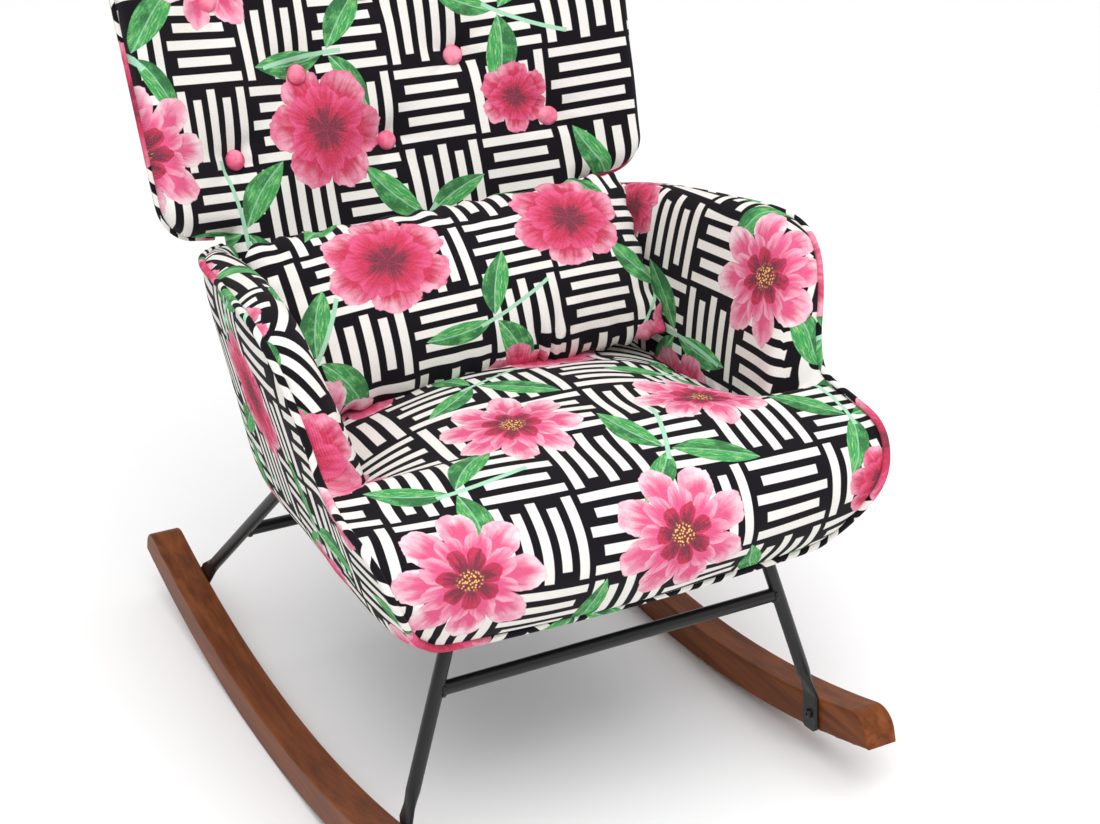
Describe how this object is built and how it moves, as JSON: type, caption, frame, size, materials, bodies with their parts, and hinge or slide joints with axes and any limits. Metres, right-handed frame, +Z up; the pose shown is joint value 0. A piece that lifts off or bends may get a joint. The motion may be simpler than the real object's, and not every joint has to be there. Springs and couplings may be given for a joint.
{
  "type": "rocking armchair",
  "caption": "Upholstered tub armchair with a buttoned back and a loose lumbar pillow, on black steel legs bolted to curved wooden rockers.",
  "frame": {"origin": "on the floor, midway between the rockers and midway along them, where the rockers touch the floor at rest", "axes": "+X to the right as seen from in front of the chair, +Y from the seat's front to its back, +Z up"},
  "size_m": [0.6848, 0.874, 0.9815],
  "materials": {
    "stained_wood": "walnut stain under satin lacquer",
    "black_metal": "satin black powder coat",
    "zinc_steel": "bright zinc plate",
    "frame_wood": "plain sawn timber and plywood",
    "elastic_web": "woven elastic",
    "lining": "thin non-woven cloth",
    "printed_fabric": "matt printed cotton twill over foam"
  },
  "bodies": {
    "chair": {"arm_blocks": "frame_wood", "arm_screws": "zinc_steel", "back_board": "frame_wood", "back_brackets": "black_metal", "back_buttons": "printed_fabric", "back_cover": "printed_fabric", "back_pad": "printed_fabric", "back_piping": "printed_fabric", "bracket_screws": "zinc_steel", "dust_cover": "lining", "front_left_leg": "black_metal", "front_mount_bar": "black_metal", "front_rail": "frame_wood", "front_right_leg": "black_metal", "front_stretcher": "black_metal", "left_arm_board": "frame_wood", "left_arm_pad": "printed_fabric", "left_rocker": "stained_wood", "left_side_rail": "frame_wood", "middle_rail": "frame_wood", "mount_bolts": "black_metal", "rear_left_leg": "black_metal", "rear_mount_bar": "black_metal", "rear_rail": "frame_wood", "rear_right_leg": "black_metal", "rear_stretcher": "black_metal", "right_arm_board": "frame_wood", "right_arm_pad": "printed_fabric", "right_rocker": "stained_wood", "right_side_rail": "frame_wood", "rocker_bolts": "black_metal", "rocker_inserts": "zinc_steel", "seat_cushion": "printed_fabric", "seat_webbing": "elastic_web", "tee_nuts": "zinc_steel", "tub_piping": "printed_fabric"},
    "pillow": {"lumbar_pillow": "printed_fabric"}
  },
  "joints": [
    {"name": "pillow_lift", "type": "slide", "parent": "chair", "child": "pillow", "axis": [0, 0, 1], "range_m": [0, 0.35]}
  ]
}
